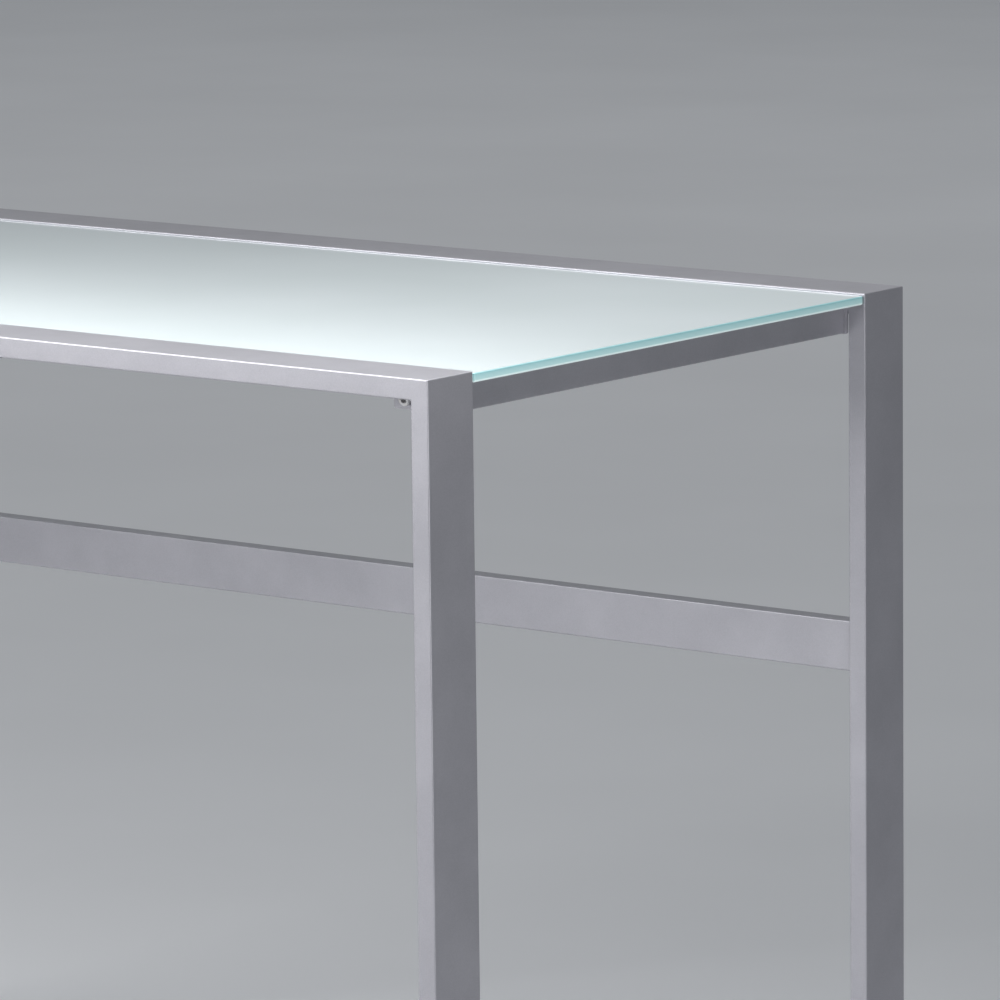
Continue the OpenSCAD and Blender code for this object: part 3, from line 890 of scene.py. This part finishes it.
def plugged_cap(lo, hi, axis, cap, direction, radius):
    """A cap with a stem: rounded rectangles, the outer ones drawn in by a quarter circle at the free face.
    direction is 1 where the stem points up the axis."""
    width, height = (hi - lo)[(axis + 1) % 3], (hi - lo)[(axis + 2) % 3]
    base = lo[axis] if direction > 0 else hi[axis]
    stem = (hi - lo)[axis]
    soft = min(1.2 * MM, cap * 0.6)
    stem_step, stem_radius = 1.4 * MM, 0.8 * MM
    levels = []
    for turn in np.radians(np.linspace(0, 90, 6)):
        inset = soft * (1 - math.sin(turn))
        outline = rounded_rectangle(width - 2 * inset, height - 2 * inset, max(radius - inset, 0.4 * MM))
        levels.append((outline, base + direction * soft * (1 - math.cos(turn))))
    full = rounded_rectangle(width, height, radius)
    inside = rounded_rectangle(width - 2 * stem_step, height - 2 * stem_step, stem_radius)
    shoulder, tip = base + direction * cap, base + direction * stem
    levels += [(full, shoulder), (inside, shoulder), (inside, tip)]
    centre = (lo + hi) / 2
    centre[axis] = 0
    return shell(along_axis(rings_of(levels), axis, centre))


# ------------------------------------------------------------------ tray


class DESK_OT_hangers(bpy.types.Operator):
    """Bent steel hangers that carry the slides, with their screws"""

    bl_idname = "desk.hangers"
    bl_label = "Tray hangers"

    def execute(self, context):
        thick = 2 * MM
        inner = sizes().bend_radius
        outer = inner + thick
        for node, way in (("right_hanger", 1), ("left_hanger", -1)):
            lo, hi = box_of(node)
            width, drop = hi[0] - lo[0], hi[2] - lo[2]
            outline = np.vstack([
                [[0, -drop]], arc((outer, -outer), outer, 180, 90), [[width, 0], [width, -thick]],
                arc((outer, -outer), inner, 90, 180), [[thick, -drop]],
            ])
            corner = lo[0] if way > 0 else hi[0]
            section = np.column_stack([hi[2] + outline[:, 1], corner + way * outline[:, 0]])
            sheet = carried_profile(section, 1, lo[1], hi[1], np.zeros(3))
            make_piece(
                node + "_sheet", [sheet], [material("powder")], "desk", [node],
                bevel=0.25 * MM,
            )
        finish_node("hanger_screws", material("zinc"))
        finish_node("rivet_nuts", material("zinc"))
        return {"FINISHED"}


def bent_strip(path, thick):
    """A strip bent along a path: the path moved half a thickness to each side, along its normal."""
    tangent = np.gradient(path, axis=0)
    tangent /= np.linalg.norm(tangent, axis=1)[:, None]
    normal = np.column_stack([-tangent[:, 1], tangent[:, 0]]) * thick / 2
    return np.vstack([path + normal, (path - normal)[::-1]])


def straight(start, end, steps=4):
    """Points spaced evenly from start to end."""
    return np.linspace(start, end, steps + 1)


class DESK_OT_slides(bpy.types.Operator):
    """Ball-bearing slides: fixed and moving members, cages, balls, stops and screws"""

    bl_idname = "desk.slides"
    bl_label = "Slides"

    def execute(self, context):
        thick, bend, roll = 1.2 * MM, 1.6 * MM, 2.2 * MM
        for side, way in (("right", 1), ("left", -1)):
            lo, hi = box_of(side + "_slide_outer")
            web = hi[0] if way > 0 else lo[0]
            half, mouth = (hi[2] - lo[2]) / 2 - thick / 2, hi[0] - lo[0] - thick / 2
            upper = np.vstack([
                straight((thick / 2, 0), (thick / 2, half - bend)),
                arc((thick / 2 + bend, half - bend), bend, 180, 90)[1:],
                straight((thick / 2 + bend, half), (mouth - roll, half))[1:],
                arc((mouth - roll, half - roll), roll, 90, 0, 8)[1:],
            ])
            lower = upper[1:][::-1] * (1, -1)
            channel(side + "_slide_outer", np.vstack([lower, upper]), thick, web, way, "desk")
            lo, hi = box_of(side + "_slide_inner")
            face = lo[0] if way > 0 else hi[0]
            half, reach = (hi[2] - lo[2]) / 2 - thick / 2, hi[0] - lo[0]
            upper = np.vstack([
                straight((thick / 2, 0), (thick / 2, half - bend)),
                arc((thick / 2 + bend, half - bend), bend, 180, 90)[1:],
                straight((thick / 2 + bend, half), (reach, half))[1:],
            ])
            lower = upper[1:][::-1] * (1, -1)
            channel(side + "_slide_inner", np.vstack([lower, upper]), thick, face, -way, "tray")
            finish_node(side + "_ball_cage", material("zinc"))
        finish_node("slide_balls", material("balls"))
        finish_node("slide_bumpers", material("rubber"))
        finish_node("outer_slide_screws", material("zinc"))
        finish_node("inner_slide_screws", material("zinc"))
        return {"FINISHED"}


def channel(node, path, thick, web, way, body):
    """A rolled channel: a bent strip in X and Z, carried along Y for the length of the node. way is 1 where
    it opens towards -X."""
    lo, hi = box_of(node)
    strip = bent_strip(path, thick)
    section = np.column_stack([(lo[2] + hi[2]) / 2 + strip[:, 1], web - way * strip[:, 0]])
    member = carried_profile(section, 1, lo[1], hi[1], np.zeros(3))
    make_piece(
        node + "_member", [member], [material("zinc")], body, [node], bevel=0.15 * MM
    )


class DESK_OT_tray(bpy.types.Operator):
    """Frame and glass of the keyboard tray"""

    bl_idname = "desk.tray"
    bl_label = "Keyboard tray"

    def execute(self, context):
        size = sizes()
        bars = {"tray_right_bar": 1, "tray_left_bar": 1, "tray_front_bar": 0, "tray_rear_bar": 0}
        for node, axis in bars.items():
            bar = cut_tube(box_of(node), axis, size.tray_tube_radius, size.tube_wall, mouth=9 * MM)
            make_piece(node + "_tube", [bar], [material("powder")], "tray", [node])
        make_glass("tray_glass_sheet", "tray_glass", "tray")
        finish_node("tray_ledges", material("powder"))
        finish_node("tray_pads", material("clear"))
        self.plugs()
        return {"FINISHED"}

    def plugs(self):
        """The four plugs take their places from the ends of the side bars."""
        outer_lo, outer_hi = box_of("tray_bar_plugs")
        stem, radius = 8 * MM, sizes().tray_tube_radius
        caps = []
        for bar in ("tray_right_bar", "tray_left_bar"):
            lo, hi = box_of(bar)
            front_lo = np.array([lo[0], outer_lo[1], lo[2]])
            front_hi = np.array([hi[0], lo[1] + stem, hi[2]])
            caps.append(plugged_cap(front_lo, front_hi, 1, lo[1] - outer_lo[1], 1, radius))
            rear_lo = np.array([lo[0], hi[1] - stem, lo[2]])
            rear_hi = np.array([hi[0], outer_hi[1], hi[2]])
            caps.append(plugged_cap(rear_lo, rear_hi, 1, outer_hi[1] - hi[1], -1, radius))
        make_piece("tray_end_plugs", caps, [material("nylon")], "tray", ["tray_bar_plugs"])


# ------------------------------------------------------------------ stage


def soft_light(name, place, target, width, height, power, colour="#ffffff"):
    """An area light that faces its target; the camera doesn't see it."""
    lamp = bpy.data.lights.new(name, "AREA")
    lamp.shape = "RECTANGLE"
    lamp.size = width
    lamp.size_y = height
    lamp.energy = power
    lamp.color = linear(colour)[:3]
    light = bpy.data.objects.new(name, lamp)
    light.location = place
    light.rotation_euler = (Vector(target) - Vector(place)).to_track_quat("-Z", "Y").to_euler()
    light.visible_camera = False
    bpy.context.scene.collection.objects.link(light)


class DESK_OT_stage(bpy.types.Operator):
    """Floor, soft studio light and camera"""

    bl_idname = "desk.stage"
    bl_label = "Stage"

    def execute(self, context):
        self.floor()
        self.lights()
        self.camera()
        context.scene.view_settings.view_transform = "Standard"
        return {"FINISHED"}

    def floor(self):
        """A disc that reaches past every view's edge: rings of growing radius at height zero."""
        turn = np.linspace(0, 2 * math.pi, 96, endpoint=False)
        radii = np.array([0.5, 2, 8, 30, 90])
        points = np.stack([
            radii[:, None] * np.cos(turn), radii[:, None] * np.sin(turn), np.zeros((len(radii), len(turn)))
        ], axis=-1)
        inner = np.arange(len(radii) - 1)[:, None] * len(turn)
        outer = inner + len(turn)
        near = np.arange(len(turn))[None, :]
        far = (near + 1) % len(turn)
        quads = np.stack([inner + near, outer + near, outer + far, inner + far], axis=-1)
        faces = quads.reshape(-1, 4).tolist() + [list(range(len(turn)))]
        mesh = bpy.data.meshes.new("studio_floor")
        mesh.from_pydata(points.reshape(-1, 3).tolist(), [], faces)
        mesh.materials.append(matt_floor())
        ground = bpy.data.objects.new("studio_floor", mesh)
        bpy.context.scene.collection.objects.link(ground)

    def lights(self):
        """Each light: its place, its target, its width, its height and its power. The sky fills the rest."""
        settings = studio()
        soft_light("key_softbox", (-1.6, -2.8, 1.6), (0.3, 0, 0.45), 1.6, 1.2, settings.key_power)
        soft_light("edge_strip", (-0.15, -0.36, 1.0), (-0.15, -0.27, 0.75), 2.0, 0.3, settings.near_power)
        soft_light("top_softbox", (0.6, 0.2, 1.25), (0.6, 0.2, 0.75), 0.8, 0.25, settings.top_power)
        soft_light("side_softbox", (1.7, -0.9, 0.5), (0.6, -0.26, 0.4), 0.5, 0.5, settings.side_power)
        soft_light("ceiling_light", (-4, 5, 5), (-4, 5, 0), 9, 9, settings.far_power)
        world = bpy.data.worlds.new("studio_sky")
        world.use_nodes = True
        back = world.node_tree.nodes["Background"]
        back.inputs["Color"].default_value = linear("#dfe4ea")
        back.inputs["Strength"].default_value = settings.sky
        bpy.context.scene.world = world

    def camera(self):
        """A long lens from the front right, a little above the desk: yaw, pitch and roll turn a camera that
        looked along +Y with +Z up."""
        place = (3.3656, -3.7876, 1.4064)
        lens = bpy.data.cameras.new("camera")
        lens.lens = studio().lens
        lens.sensor_width = 36
        lens.clip_end = 200
        view = bpy.data.objects.new("camera", lens)
        yaw, pitch, roll = math.radians(37.679), math.radians(9.401), math.radians(0.656)
        turn = Matrix.Rotation(yaw, 3, "Z") @ Matrix.Rotation(math.pi / 2 - pitch, 3, "X")
        turn = turn @ Matrix.Rotation(-roll, 3, "Z")
        view.matrix_world = Matrix.Translation(place) @ turn.to_4x4()
        bpy.context.scene.collection.objects.link(view)
        bpy.context.scene.camera = view


# ------------------------------------------------------------------ add-on


OPERATORS = (
    DESK_OT_stage, DESK_OT_frame_tubes, DESK_OT_stretcher, DESK_OT_cross_rails, DESK_OT_frame_bolts,
    DESK_OT_glass_top, DESK_OT_glass_pads, DESK_OT_feet, DESK_OT_hangers, DESK_OT_slides, DESK_OT_tray,
)


class DESK_PT_panel(bpy.types.Panel):
    """Lists the desk's settings and its pieces"""

    bl_idname = "DESK_PT_panel"
    bl_label = "Glass Computer Desk"
    bl_space_type = "VIEW_3D"
    bl_region_type = "UI"
    bl_category = "Desk"

    def draw(self, context):
        for group in (sizes(), finishes(), studio()):
            column = self.layout.column()
            for setting in group.__annotations__:
                column.prop(group, setting)
        for operator in OPERATORS:
            self.layout.operator(operator.bl_idname)


CLASSES = (DeskSizes, DeskFinishes, DeskStudio, *OPERATORS, DESK_PT_panel)


def register():
    for cls in CLASSES:
        bpy.utils.register_class(cls)
    bpy.types.Scene.desk_sizes = bpy.props.PointerProperty(type=DeskSizes)
    bpy.types.Scene.desk_finishes = bpy.props.PointerProperty(type=DeskFinishes)
    bpy.types.Scene.desk_studio = bpy.props.PointerProperty(type=DeskStudio)


def unregister():
    del bpy.types.Scene.desk_studio
    del bpy.types.Scene.desk_finishes
    del bpy.types.Scene.desk_sizes
    for cls in reversed(CLASSES):
        bpy.utils.unregister_class(cls)


def main():
    register()
    for operator in OPERATORS:
        group, name = operator.bl_idname.split(".")
        getattr(getattr(bpy.ops, group), name)()


if __name__ == "__main__":
    main()
